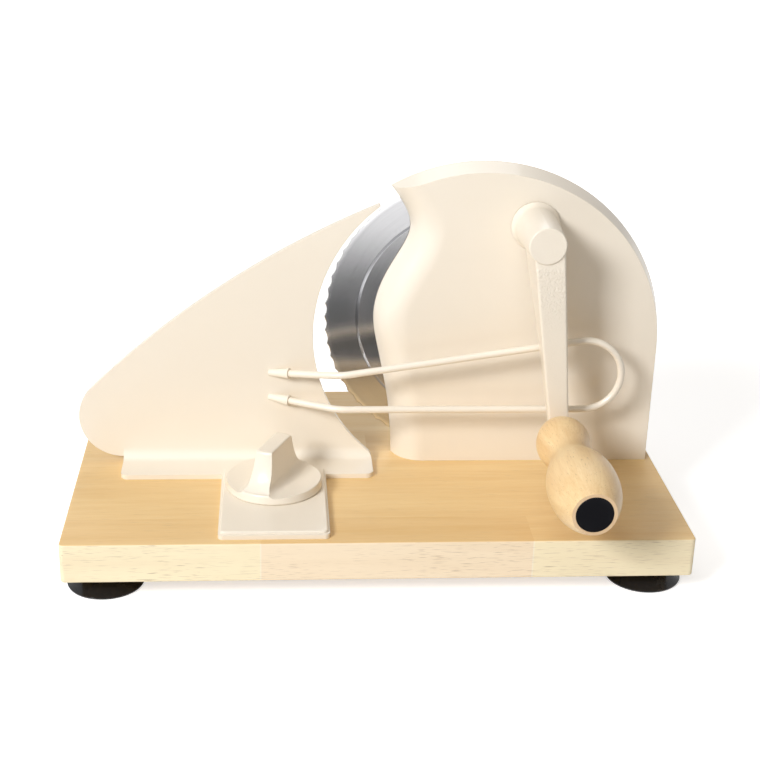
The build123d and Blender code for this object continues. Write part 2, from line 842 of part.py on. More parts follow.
with BuildPart() as grip_spindle:
    with BuildSketch(at_y(arm_front + 8.6)) as spindle_tail:
        with Locations((grip_x, grip_z)):
            Circle(5.4)
    extrude(amount=0.95)
    with BuildSketch(at_y(arm_front + 7.7)) as spindle_rod:
        with Locations((grip_x, grip_z)):
            Circle(spindle_radius)
    extrude(amount=arm_front + 7.7 - grip_front - head_seat + 1.2)
    with BuildSketch(at_y(arm_front)) as spindle_collar:
        with Locations((grip_x, grip_z)):
            Circle(6.8)
    extrude(amount=arm_front - collar_front)
    with BuildSketch(at_y(grip_front + head_seat - 1.2)) as spindle_head:
        with Locations((grip_x, grip_z)):
            Circle(6.6)
    extrude(amount=4.0)

grip_spindle.part.label = "grip_spindle"
export_step(grip_spindle.part, "parts/grip_spindle.step")

with BuildPart() as grip_washer:
    with BuildSketch(at_y(grip_front + head_seat - 0.1)) as grip_ring:
        with Locations((grip_x, grip_z)):
            Circle(7.8)
            Circle(spindle_radius + running_gap, mode=Mode.SUBTRACT)
    extrude(amount=1.0)

grip_washer.part.label = "grip_washer"
export_step(grip_washer.part, "parts/grip_washer.step")

with BuildPart() as grip:
    with BuildSketch(beside(grip_x, 0)) as grip_profile:
        with BuildLine() as grip_line:
            bore = grip_z + spindle_radius + 0.08
            Line((grip_rear, bore), (grip_rear, grip_z + 8.8))
            body = Spline(
                (grip_rear, grip_z + 8.8),
                (grip_rear - 3.5, grip_z + 11.6),
                (grip_rear - 9.5, grip_z + 14.6),
                (grip_rear - 18.5, grip_z + grip_small_radius),
                (grip_rear - 29.0, grip_z + 15.0),
                (grip_rear - 41.5, grip_z + grip_neck_radius),
                (grip_rear - 55.0, grip_z + 15.8),
                (grip_rear - 68.0, grip_z + 19.7),
                (grip_rear - 82.0, grip_z + grip_big_radius),
                (grip_rear - 96.0, grip_z + 19.7),
                (grip_rear - 107.0, grip_z + 16.4),
                (grip_front, grip_z + 12.9),
            )
            Line(body @ 1, (grip_front, grip_z + cap_radius + 0.06))
            Line(
                (grip_front, grip_z + cap_radius + 0.06),
                (grip_front + cap_seat, grip_z + cap_radius + 0.06),
            )
            Line(
                (grip_front + cap_seat, grip_z + cap_radius + 0.06),
                (grip_front + cap_seat, grip_z + 8.6),
            )
            Line(
                (grip_front + cap_seat, grip_z + 8.6),
                (grip_front + head_seat, grip_z + 8.6),
            )
            Line((grip_front + head_seat, grip_z + 8.6), (grip_front + head_seat, bore))
            Line((grip_front + head_seat, bore), (grip_rear, bore))
        make_face()
    revolve(axis=grip_axis)

grip.part.label = "grip"
export_step(grip.part, "parts/grip.step")

with BuildPart() as grip_cap:
    with BuildSketch(at_y(grip_front + cap_seat - 0.05)) as cap_disc:
        with Locations((grip_x, grip_z)):
            Circle(cap_radius)
    extrude(amount=cap_seat + 0.15)
    fillet(grip_cap.faces().sort_by(Axis.Y)[0].edges(), radius=0.5)
    with BuildSketch(at_y(grip_front + cap_seat + 4.5)) as cap_plug:
        with Locations((grip_x, grip_z)):
            Circle(8.55)
            Circle(7.2, mode=Mode.SUBTRACT)
    extrude(amount=4.6)

grip_cap.part.label = "grip_cap"
export_step(grip_cap.part, "parts/grip_cap.step")


# ---------------------------------------------------------------------------
# Guide plate: teardrop stop plate with a foot flange, a slotted tongue under the
# knob and two slanted bosses for the wire. It slides to and fro as one piece.
# ---------------------------------------------------------------------------
lobe_x = plate_left + lobe_radius
lobe_z = board_top + 32.4
lobe_top_angle = radians(134)
lobe_join = (lobe_x + lobe_radius * cos(lobe_top_angle), lobe_z + lobe_radius * sin(lobe_top_angle))
plate_tip = (8.8, board_top + 178.6)
slot_half = key_width / 2 + 0.3
slot_length = key_length + slide_in + slide_out + 0.8
slot_middle = clamp_y + (slide_out - slide_in) / 2

# wire path: out of each boss at a slant, then along the front of the housing
loop_z = board_top + wire_low + loop_radius
upper_kink = (-21.5, wire_y, board_top + 69.5)
lower_kink = (-23.4, wire_y, board_top + wire_low)
reach = hypot(loop_x - upper_kink[0], loop_z - upper_kink[2])
rise = atan2(loop_z - upper_kink[2], loop_x - upper_kink[0])
tangent_rise = rise + atan2(loop_radius, sqrt(reach ** 2 - loop_radius ** 2))
loop_top = (
    loop_x - loop_radius * sin(tangent_rise),
    wire_y,
    loop_z + loop_radius * cos(tangent_rise),
)
upper_root = (-66.9, plate_y, board_top + 63.2)
lower_root = (-66.9, plate_y, board_top + 46.4)


def direction(start, end):
    """Unit vector from one point to another."""
    length = sqrt(sum((b - a) ** 2 for a, b in zip(start, end)))
    return tuple((b - a) / length for a, b in zip(start, end))


def between(start, way, distance):
    """Point at a distance from start along a unit vector."""
    return tuple(a + b * distance for a, b in zip(start, way))


upper_way = direction(upper_root, upper_kink)
lower_way = direction(lower_root, lower_kink)
boss_length = 14.5
boss_root = 2.0
boss_tip = 3.4
wire_seat = 9.0


def plate_outline():
    """Teardrop outline of the guide plate in the X-Z plane."""
    with BuildLine() as outline:
        ThreePointArc(
            (lobe_x, lobe_z - lobe_radius),
            (lobe_x - lobe_radius, lobe_z),
            lobe_join,
        )
        ThreePointArc(lobe_join, (-89.0, board_top + 127.0), plate_tip)
        crescent = ThreePointArc(
            plate_tip,
            (-38.9, board_top + 93.0),
            (plate_foot_right - 2.6, board_top + flange_thickness + 4.4),
        )
        heel = ThreePointArc(
            crescent @ 1,
            (plate_foot_right - 0.7, board_top + flange_thickness + 2.3),
            (plate_foot_right, board_top + flange_thickness),
        )
        Line(heel @ 1, (plate_foot_right, board_top))
        Line((plate_foot_right, board_top), (plate_foot_left, board_top))
        Line((plate_foot_left, board_top), (plate_foot_left, lobe_z - lobe_radius))
        Line((plate_foot_left, lobe_z - lobe_radius), (lobe_x, lobe_z - lobe_radius))
    return outline.edges()


fold_radius = 7.0
flange_top = board_top + flange_thickness
with BuildPart() as fold:
    with BuildSketch(beside(plate_foot_left, 0)) as fold_profile:
        with BuildLine() as fold_line:
            Line((plate_y - fold_radius, flange_top), (plate_y + 1, flange_top))
            Line((plate_y + 1, flange_top), (plate_y + 1, flange_top + fold_radius))
            Line((plate_y + 1, flange_top + fold_radius), (plate_y, flange_top + fold_radius))
            ThreePointArc(
                (plate_y, flange_top + fold_radius),
                (
                    plate_y - fold_radius * (1 - sin(pi / 4)),
                    flange_top + fold_radius * (1 - cos(pi / 4)),
                ),
                (plate_y - fold_radius, flange_top),
            )
        make_face()
    extrude(amount=plate_foot_right - plate_foot_left)
    with BuildSketch(at_y(plate_rear)) as fold_limit:
        make_face(plate_outline())
    extrude(amount=30, mode=Mode.INTERSECT)

with BuildPart() as guide_plate:
    with BuildSketch(at_y(plate_rear)) as plate_face:
        make_face(plate_outline())
        fillet(plate_face.vertices().sort_by(Axis.Y)[-1], radius=1.0)
    extrude(amount=plate_thickness)
    add(fold.part)
    # flange on the board
    with BuildSketch(Plane.XY.offset(board_top)) as flange:
        flange_front = board_front + flange_front_depth
        with BuildLine() as flange_line:
            FilletPolyline(
                (plate_foot_left, plate_rear),
                (plate_foot_left, flange_front),
                (plate_foot_right, flange_front),
                (plate_foot_right, plate_rear),
                radius=5.0,
            )
            Line((plate_foot_right, plate_rear), (plate_foot_left, plate_rear))
        make_face()
    extrude(amount=flange_thickness)
    # tongue under the knob, with a raised pad set in from its edges
    tongue_front = board_front + tongue_front_depth
    with BuildSketch(Plane.XY.offset(board_top)) as tongue:
        with Locations((clamp_x, (tongue_front + flange_front + 10) / 2)):
            RectangleRounded(tongue_width, flange_front + 10 - tongue_front, 3.0)
    extrude(amount=flange_thickness)
    with BuildSketch(Plane.XY.offset(board_top + flange_thickness)) as pad:
        with Locations((clamp_x, (tongue_front + 1.3 + board_front + 94.5) / 2)):
            RectangleRounded(tongue_width - 2.4, 94.5 - tongue_front_depth - 1.3, 3.0)
    extrude(amount=tongue_pad)
    pad_top = guide_plate.faces().filter_by(Axis.Z).group_by(Axis.Z)[-1]
    fillet(pad_top.edges(), radius=0.8)
    # slot over the slide key
    with BuildSketch(Plane.XY.offset(board_top - 1)) as slot:
        with Locations((clamp_x, slot_middle)):
            SlotOverall(slot_length, 2 * slot_half, rotation=90)
    extrude(amount=10, mode=Mode.SUBTRACT)
    # slanted bosses, cut flush behind the plate
    for root, way in ((upper_root, upper_way), (lower_root, lower_way)):
        with Locations(Plane(origin=root, z_dir=way)):
            Cone(
                boss_root,
                boss_tip,
                boss_length,
                align=(Align.CENTER, Align.CENTER, Align.MIN),
            )
    with BuildSketch(at_y(plate_rear + 30)) as behind:
        with Locations((-66.9, board_top + 60)):
            Rectangle(80, 80)
    extrude(amount=30, mode=Mode.SUBTRACT)
    for root, way in ((upper_root, upper_way), (lower_root, lower_way)):
        with Locations(Plane(origin=between(root, way, wire_seat), z_dir=way)):
            Cylinder(
                wire_radius + 0.05,
                20,
                align=(Align.CENTER, Align.CENTER, Align.MIN),
                mode=Mode.SUBTRACT,
            )

guide_plate.part.label = "guide_plate"
export_step(guide_plate.part, "parts/guide_plate.step")

upper_start = between(upper_root, upper_way, wire_seat + 0.2)
lower_start = between(lower_root, lower_way, wire_seat + 0.2)
upper_run = direction(upper_kink, loop_top)
loop_end = (loop_x, wire_y, board_top + wire_low)
lower_run = (1.0, 0.0, 0.0)
bend = 6.0

with BuildPart() as wire_guard:
    with BuildLine() as wire_path:
        Line(upper_start, between(upper_kink, upper_way, -bend))
        TangentArc(
            between(upper_kink, upper_way, -bend),
            between(upper_kink, upper_run, bend),
            tangent=upper_way,
        )
        Line(between(upper_kink, upper_run, bend), loop_top)
        ThreePointArc(loop_top, (loop_x + loop_radius, wire_y, loop_z), loop_end)
        Line(loop_end, between(lower_kink, lower_run, bend))
        TangentArc(
            between(lower_kink, lower_run, bend),
            between(lower_kink, lower_way, -bend),
            tangent=(-1, 0, 0),
        )
        Line(between(lower_kink, lower_way, -bend), lower_start)
    with BuildSketch(Plane(origin=upper_start, z_dir=upper_way)) as wire_section:
        Circle(wire_radius)
    sweep()

wire_guard.part.label = "wire_guard"
export_step(wire_guard.part, "parts/wire_guard.step")


# ---------------------------------------------------------------------------
# Clamp: knob on a stud that is held in the board by a tee nut; a slide key in
# the board's top keeps the tongue square
# ---------------------------------------------------------------------------
knob_base = tongue_top + 0.2
knob_top = knob_base + knob_height
knob_rim = 6.2
bar_half = 5.4
knob_axis = Axis((clamp_x, clamp_y, 0), (0, 0, 1))
knob_plane = Plane(origin=(clamp_x, clamp_y, 0), x_dir=(1, 0, 0), z_dir=(0, -1, 0))

with BuildPart() as clamp_knob:
    with BuildSketch(knob_plane) as knob_profile:
        with BuildLine() as knob_line:
            Line((0, knob_base), (knob_radius - 0.6, knob_base))
            Line((knob_radius - 0.6, knob_base), (knob_radius, knob_base + 0.8))
            Line((knob_radius, knob_base + 0.8), (knob_radius - 0.3, knob_base + knob_rim - 1.2))
            shoulder = ThreePointArc(
                (knob_radius - 0.3, knob_base + knob_rim - 1.2),
                (knob_radius - 0.9, knob_base + knob_rim - 0.2),
                (knob_radius - 2.2, knob_base + knob_rim),
            )
            side = Spline(
                (knob_radius - 2.2, knob_base + knob_rim),
                (22.6, knob_base + 10.4),
                (18.4, knob_base + 18.0),
                (16.2, knob_top - 1.6),
            )
            ThreePointArc(side @ 1, (15.6, knob_top - 0.5), (14.4, knob_top))
            Line((14.4, knob_top), (0, knob_top))
            Line((0, knob_top), (0, knob_base))
        make_face()
    revolve(axis=knob_axis)
    # scoop out both sides of the bar grip, down to a dished floor
    with BuildSketch(
        Plane(
            origin=(clamp_x, clamp_y, 0),
            x_dir=(cos(radians(-knob_turn)), sin(radians(-knob_turn)), 0),
            z_dir=(sin(radians(-knob_turn)), -cos(radians(-knob_turn)), 0),
        )
    ) as scoops:
        with BuildLine() as scoop_line:
            wall_foot = (bar_half + 1.6, knob_base + knob_rim + 3.4)
            Line((bar_half - 1.1, knob_top + 1), (bar_half - 1.1, knob_top))
            ThreePointArc(
                (bar_half - 1.1, knob_top),
                (bar_half - 0.32, knob_top - 0.32),
                (bar_half, knob_top - 1.1),
            )
            Line((bar_half, knob_top - 1.1), wall_foot)
            ThreePointArc(
                wall_foot,
                (bar_half + 3.9, knob_base + knob_rim - 0.4),
                (bar_half + 8.8, knob_base + knob_rim - 1.7),
            )
            Line(
                (bar_half + 8.8, knob_base + knob_rim - 1.7),
                (knob_radius + 4, knob_base + knob_rim + 0.2),
            )
            Line(
                (knob_radius + 4, knob_base + knob_rim + 0.2),
                (knob_radius + 4, knob_top + 1),
            )
            Line((knob_radius + 4, knob_top + 1), (bar_half - 1.1, knob_top + 1))
        make_face()
        mirror(about=Plane.YZ)
    extrude(amount=40, both=True, mode=Mode.SUBTRACT)
    # washer recess and threaded hole
    with BuildSketch(Plane.XY.offset(knob_base - 1)) as recess:
        with Locations((clamp_x, clamp_y)):
            Circle(13.2)
    extrude(amount=1 + 1.45, mode=Mode.SUBTRACT)
    with BuildSketch(Plane.XY.offset(knob_base - 1)) as tapped_hole:
        with Locations((clamp_x, clamp_y)):
            Circle(stud_radius + 0.06)
    extrude(amount=20, mode=Mode.SUBTRACT)

clamp_knob.part.label = "clamp_knob"
export_step(clamp_knob.part, "parts/clamp_knob.step")

with BuildPart() as clamp_washer:
    with BuildSketch(Plane.XY.offset(tongue_top)) as clamp_ring:
        with Locations((clamp_x, clamp_y)):
            Circle(12.8)
            Circle(stud_radius + 0.4, mode=Mode.SUBTRACT)
    extrude(amount=1.6)

clamp_washer.part.label = "clamp_washer"
export_step(clamp_washer.part, "parts/clamp_washer.step")

with BuildPart() as clamp_stud:
    with BuildSketch(Plane.XY.offset(foot_height + 0.5)) as stud:
        with Locations((clamp_x, clamp_y)):
            Circle(stud_radius)
    extrude(amount=knob_base + 17.0 - foot_height - 0.5)
    chamfer(clamp_stud.faces().filter_by(Axis.Z).edges(), length=0.8)

clamp_stud.part.label = "clamp_stud"
export_step(clamp_stud.part, "parts/clamp_stud.step")

with BuildPart() as slide_key:
    with BuildSketch(Plane.XY.offset(board_top - key_sink + 0.05)) as key:
        with Locations((clamp_x, clamp_y)):
            SlotOverall(key_length, key_width, rotation=90)
            Circle(stud_radius + press_gap, mode=Mode.SUBTRACT)
    extrude(amount=key_sink + 3.6)

slide_key.part.label = "slide_key"
export_step(slide_key.part, "parts/slide_key.step")

with BuildPart() as tee_nut:
    with BuildSketch(Plane.XY.offset(foot_height + 0.1)) as tee_disc:
        with Locations((clamp_x, clamp_y)):
            Circle(tee_flange)
    extrude(amount=1.55)
    with BuildSketch(Plane.XY.offset(foot_height + 1.6)) as tee_tube:
        with Locations((clamp_x, clamp_y)):
            Circle(tee_barrel)
    extrude(amount=11.0)
    with BuildSketch(Plane.XY.offset(foot_height)) as tee_bore:
        with Locations((clamp_x, clamp_y)):
            Circle(stud_radius + press_gap)
    extrude(amount=14, mode=Mode.SUBTRACT)

tee_nut.part.label = "tee_nut"
export_step(tee_nut.part, "parts/tee_nut.step")
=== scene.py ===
# %% [markdown]
# # A hand-cranked bread slicer
# This lesson dresses a machine whose shapes are already exact. The frame holds
# every casting, gear, washer and screw as a finished solid, so the work here is
# paint, wood, steel and light. Metres are used throughout, Z points up, and the
# person who turns the crank stands at minus Y.

from math import cos, sin

import bpy
from mathutils import Matrix, Vector


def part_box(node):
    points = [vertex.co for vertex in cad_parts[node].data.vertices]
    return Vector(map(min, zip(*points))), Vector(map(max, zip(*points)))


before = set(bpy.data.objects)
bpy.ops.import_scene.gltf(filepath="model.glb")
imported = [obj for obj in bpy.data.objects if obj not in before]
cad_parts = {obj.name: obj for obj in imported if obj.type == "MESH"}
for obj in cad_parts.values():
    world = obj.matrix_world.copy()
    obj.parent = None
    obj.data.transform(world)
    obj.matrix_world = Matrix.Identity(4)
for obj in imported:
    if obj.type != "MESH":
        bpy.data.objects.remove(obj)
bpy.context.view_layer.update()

# %% [markdown]
# ## A short way to write shader nodes
# A finish is a small graph: textures feed a ramp, the ramp feeds the colour.
# Written out in full, each node takes five lines. One helper that makes a node,
# sets its options and fills or links its sockets keeps every recipe readable.


# %% The node helper
def node(finish, kind, options=None, **sockets):
    """A shader node in this finish. A socket is named, or i0, i1 ... by number."""
    made = finish.node_tree.nodes.new("ShaderNode" + kind)
    for name, value in (options or {}).items():
        setattr(made, name, value)
    for name, value in sockets.items():
        by_number = name[0] == "i" and name[1:].isdigit()
        socket = made.inputs[int(name[1:]) if by_number else name.replace("_", " ")]
        if isinstance(value, bpy.types.NodeSocket):
            finish.node_tree.links.new(value, socket)
        else:
            socket.default_value = value
    return made


def empty_finish(name):
    """A finish with no nodes in it yet."""
    finish = bpy.data.materials.new(name)
    finish.use_nodes = True
    finish.node_tree.nodes.clear()
    return finish


def seal(finish, shader):
    """Links the last shader to the output; a fixed colour also shows in the viewport."""
    node(finish, "OutputMaterial", Surface=shader.outputs[0])
    colour = shader.inputs["Base Color"]
    if not colour.is_linked:
        finish.diffuse_color = colour.default_value
    return finish


print("helpers ready")

# %% [markdown]
# ## Mixing and measuring inside a finish
# Almost every recipe below asks the same small questions: where on the piece am
# I, how bright is this noise between two limits, and which of two colours wins.


# %% Small recipes that the finishes share
def place(finish, stretch=(1.0, 1.0, 1.0), shift=(0.0, 0.0, 0.0)):
    """Coordinates fixed to the piece, stretched per axis, so they ride with it."""
    where = node(finish, "TexCoord")
    mapped = node(finish, "Mapping", Vector=where.outputs["Object"])
    mapped.inputs["Scale"].default_value = stretch
    mapped.inputs["Location"].default_value = shift
    return mapped.outputs[0]


def noise(finish, where, scale, detail=3.0, roughness=0.5, twist=0.0):
    """Soft cloudy values about 0.5."""
    made = node(
        finish, "TexNoise", Vector=where, Scale=scale, Detail=detail,
        Roughness=roughness, Distortion=twist,
    )
    return made.outputs[0]


def between(finish, value, low, high, to_low=0.0, to_high=1.0):
    """Stretches the part of a value from low to high over to_low to to_high."""
    made = node(finish, "MapRange", i0=value, i1=low, i2=high, i3=to_low, i4=to_high)
    return made.outputs[0]


def blend_colours(finish, amount, first, second):
    """First colour where amount is 0, second where it is 1."""
    made = node(finish, "Mix", {"data_type": "RGBA"}, i0=amount, i6=first, i7=second)
    return made.outputs[2]


def sums(finish, way, first, second=0.0):
    """One step of arithmetic on two values."""
    return node(finish, "Math", {"operation": way}, i0=first, i1=second).outputs[0]


def gap(finish, value, target):
    """How far a value lies from a target, to either side."""
    return sums(finish, "ABSOLUTE", sums(finish, "SUBTRACT", value, target))


def distance(finish, where):
    """How far a place lies from the middle of its coordinates."""
    return node(finish, "VectorMath", {"operation": "LENGTH"}, i0=where).outputs["Value"]


def parts_of(finish, where):
    """X, Y and Z of a coordinate, each by itself."""
    return node(finish, "SeparateXYZ", Vector=where).outputs


def relief(finish, height, strength, depth, normal=None):
    """Bump from a height value; depth is the real height in metres."""
    made = node(finish, "Bump", Strength=strength, Distance=depth, Height=height)
    if normal is not None:
        finish.node_tree.links.new(normal, made.inputs["Normal"])
    return made.outputs[0]


def soft_edges(finish, radius):
    """The surface direction with every sharp edge eased over a small radius."""
    return node(finish, "Bevel", {"samples": 6}, Radius=radius).outputs[0]


def edge_mask(finish, eased):
    """0 on flats, rising to 1 where the eased edge turns away from the surface."""
    true_way = node(finish, "NewGeometry").outputs["Normal"]
    likeness = node(finish, "VectorMath", {"operation": "DOT_PRODUCT"}, i0=eased, i1=true_way)
    return between(finish, likeness.outputs["Value"], 1.0, 0.90)


print("recipes ready")

# %% [markdown]
# ## Cream enamel
# The castings are sprayed with a thick cream powder that melts in an oven. It
# never lies quite flat: the skin keeps fine dimples over slower swells, and it
# draws thin over corners. The knob is a rougher casting, and the upper part of
# the crank's arm looks hammered. One recipe serves all three grades. Its numbers
# are the size and height of the dimples, the height of the swells and how dull
# the paint is at least.


# %% Cream enamel in three grades
CREAM = (0.860, 0.785, 0.665, 1.0)
CREAM_WARM = (0.835, 0.745, 0.605, 1.0)
CREAM_RUBBED = (0.760, 0.655, 0.500, 1.0)
HAMMERED_HEIGHTS = (0.146, 0.190)


def between_heights(finish, height, low, high):
    """1 between two heights, easing out to a trace beyond them."""
    above = between(finish, height, low, low + 0.020)
    below = between(finish, height, high - 0.004, high, 1.0, 0.0)
    return between(finish, sums(finish, "MULTIPLY", above, below), 0.0, 1.0, 0.14, 1.0)


def enamel(name, dimple_scale, dimple_height, swell_height, least_dull, heights=None):
    """Powder-coated casting: dimpled skin, eased edges, faint warm clouds."""
    finish = empty_finish(name)
    where = place(finish)
    clouds = between(finish, noise(finish, where, 9.0, 4.0), 0.35, 0.7)
    paint = blend_colours(finish, sums(finish, "MULTIPLY", clouds, 0.35), CREAM, CREAM_WARM)
    # rubbed thin along the edges, in patches
    eased = soft_edges(finish, 0.0006)
    rubbed = sums(finish, "MULTIPLY", edge_mask(finish, eased), 0.45)
    patches = between(finish, noise(finish, where, 160.0, 2.0), 0.45, 0.62)
    paint = blend_colours(finish, sums(finish, "MULTIPLY", rubbed, patches), paint, CREAM_RUBBED)
    # fine dimples over slower swells
    dimples = noise(finish, where, dimple_scale, 2.0, 0.45)
    if heights is not None:
        here = between_heights(finish, parts_of(finish, where)[2], *heights)
        dimples = sums(finish, "MULTIPLY", dimples, here)
    swells = noise(finish, where, dimple_scale * 0.22, 1.0)
    skin = relief(finish, dimples, 1.0, dimple_height, eased)
    skin = relief(finish, swells, 1.0, swell_height, skin)
    mottle = noise(finish, where, 35.0, 3.0)
    dullness = between(finish, mottle, 0.3, 0.7, least_dull, least_dull + 0.10)
    shader = node(
        finish, "BsdfPrincipled", Base_Color=paint, Roughness=dullness, Normal=skin,
        Coat_Weight=0.38, Coat_Roughness=0.13,
    )
    return seal(finish, shader)


smooth_enamel = enamel(
    "cream enamel, smooth", dimple_scale=620.0, dimple_height=0.00002,
    swell_height=0.00003, least_dull=0.36,
)
cast_enamel = enamel(
    "cream enamel, rough casting", dimple_scale=430.0, dimple_height=0.00009,
    swell_height=0.00014, least_dull=0.32,
)
hammered_enamel = enamel(
    "cream enamel, hammered", dimple_scale=680.0, dimple_height=0.00078,
    swell_height=0.00010, least_dull=0.30, heights=HAMMERED_HEIGHTS,
)
print("enamel:", smooth_enamel.name, "|", cast_enamel.name, "|", hammered_enamel.name)

# %% [markdown]
# ## The beech board
# The board is glued up from strips that run from left to right, and each strip
# from shorter blocks, so tone and grain jump at every joint. Beech shows short
# dark flecks, a millimetre or two long, all along the grain. The top is oiled and
# warmer; the sawn edges are paler. A joint is found by rounding a position down
# to its block number, and that number picks the block's own tone. The front
# edge is looked at most, so its two joints are given.


# %% Which block of the board a spot belongs to
STRIP_WIDTH = 0.0325
BLOCK_LENGTH = 0.235
FRONT_JOINTS = (-0.072, 0.091)


def board_blocks(finish, front):
    """The block's random values, 1 in the front strip, and the block's number there."""
    spot = parts_of(finish, place(finish))
    from_front = sums(finish, "SUBTRACT", spot[1], front)
    strip = sums(finish, "FLOOR", sums(finish, "DIVIDE", from_front, STRIP_WIDTH))
    # behind the front, each strip's blocks are shifted by its own amount
    shift = node(finish, "TexWhiteNoise", {"noise_dimensions": "1D"}, W=strip).outputs[0]
    along = sums(finish, "ADD", spot[0], sums(finish, "MULTIPLY", shift, 0.31))
    inner_block = sums(finish, "FLOOR", sums(finish, "DIVIDE", along, BLOCK_LENGTH))
    in_front = sums(finish, "LESS_THAN", strip, 0.5)
    past_joints = [sums(finish, "GREATER_THAN", spot[0], joint) for joint in FRONT_JOINTS]
    front_block = sums(finish, "ADD", *past_joints)
    block = between(finish, in_front, 0.0, 1.0, inner_block, front_block)
    key = node(finish, "CombineXYZ", X=block, Y=strip)
    lot = node(finish, "TexWhiteNoise", {"noise_dimensions": "2D"}, Vector=key.outputs[0])
    return lot.outputs, in_front, front_block


print("strips of", STRIP_WIDTH, "m, front joints at", FRONT_JOINTS)

# %% Oiled beech, glued up from strips
TOP_LIGHT = (0.860, 0.625, 0.305, 1.0)
TOP_DEEP = (0.760, 0.500, 0.212, 1.0)
EDGE_LIGHT = (0.930, 0.820, 0.560, 1.0)
EDGE_PINK = (0.925, 0.768, 0.556, 1.0)
EDGE_STREAK = (0.78, 0.60, 0.39, 1.0)
GLUE = (0.95, 0.88, 0.72, 1.0)
FLECK = (0.360, 0.235, 0.130, 1.0)


def sawn_faces(finish, lot, in_front, front_block, streaks):
    """Pale wood, pinker from block to block; the front's middle block is pink."""
    front_pink = between(finish, gap(finish, front_block, 1.0), 0.0, 1.0, 1.0, 0.1)
    pink = between(finish, lot["Value"], 0.2, 0.9)
    pink = between(finish, in_front, 0.0, 1.0, pink, front_pink)
    pale = blend_colours(finish, pink, EDGE_LIGHT, EDGE_PINK)
    pale = blend_colours(finish, streaks, pale, EDGE_STREAK)
    # a pale line of glue at the joints of the front
    along = parts_of(finish, place(finish))[0]
    nearest = sums(finish, "MINIMUM", *[gap(finish, along, joint) for joint in FRONT_JOINTS])
    glue = between(finish, nearest, 0.0002, 0.0006, 0.6, 0.0)
    return blend_colours(finish, glue, pale, GLUE)


def board_wood(front):
    """Beech strips, counted from the board's front face."""
    finish = empty_finish("oiled beech board")
    lot, in_front, front_block = board_blocks(finish, front)
    # long grain, shifted from block to block
    slip = node(
        finish, "VectorMath", {"operation": "MULTIPLY_ADD"},
        i0=lot["Color"], i1=(3.0, 3.0, 3.0), i2=place(finish, (5.0, 70.0, 70.0)),
    ).outputs[0]
    grain = noise(finish, slip, 1.6, 6.0, 0.62, 0.35)
    bands = noise(finish, slip, 0.35, 2.0, 0.5, 0.6)
    fine = noise(finish, place(finish, (60.0, 1500.0, 1500.0)), 1.0, 2.0, 0.6)
    tone = sums(finish, "MULTIPLY", grain, 0.75)
    for texture, share in ((bands, 0.55), (fine, 0.34), (lot["Value"], 0.30)):
        tone = sums(finish, "ADD", tone, sums(finish, "MULTIPLY", texture, share))
    oiled = blend_colours(finish, between(finish, tone, 0.70, 1.20), TOP_LIGHT, TOP_DEEP)
    streaks = between(finish, noise(finish, slip, 1.1, 5.0, 0.6, 0.2), 0.42, 0.78, 0.0, 0.45)
    pale = sawn_faces(finish, lot, in_front, front_block, streaks)
    facing = parts_of(finish, node(finish, "NewGeometry").outputs["Normal"])
    flat = between(finish, sums(finish, "ABSOLUTE", facing[2]), 0.5, 0.9)
    wood = blend_colours(finish, flat, pale, oiled)
    # flecks, fainter under the oil of the top
    specks = noise(finish, place(finish, (105.0, 2400.0, 2400.0)), 1.0, 1.0, 0.5)
    patches = noise(finish, place(finish, (18.0, 60.0, 60.0)), 1.0, 2.0)
    patches = between(finish, patches, 0.25, 0.55)
    specks = sums(finish, "MULTIPLY", between(finish, specks, 0.61, 0.74), patches)
    fleck_depth = between(finish, flat, 0.0, 1.0, 0.60, 0.22)
    wood = blend_colours(finish, sums(finish, "MULTIPLY", specks, fleck_depth), wood, FLECK)
    skin = relief(finish, specks, 0.6, -0.00008, soft_edges(finish, 0.0010))
    skin = relief(finish, fine, 0.5, 0.00003, skin)
    dullness = between(finish, grain, 0.3, 0.7, 0.42, 0.56)
    shader = node(
        finish, "BsdfPrincipled", Base_Color=wood, Roughness=dullness, Normal=skin,
        Coat_Weight=0.08, Coat_Roughness=0.35,
    )
    return seal(finish, shader)


board_low, board_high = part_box("base_board")
beech = board_wood(board_low[1])
print("board:", [round(v, 4) for v in board_low], [round(v, 4) for v in board_high])

# %% [markdown]
# ## The turned grip
# The grip is turned on a lathe from one stick, so its grain runs along it and is
# cut through wherever the form swells. The lathe leaves faint rings, and the
# lacquer makes it smoother than the board.


# %% Lacquered wood of the grip
GRIP_LIGHT = (0.890, 0.670, 0.370, 1.0)
GRIP_DEEP = (0.720, 0.460, 0.205, 1.0)
GRIP_END = (0.74, 0.52, 0.34, 1.0)


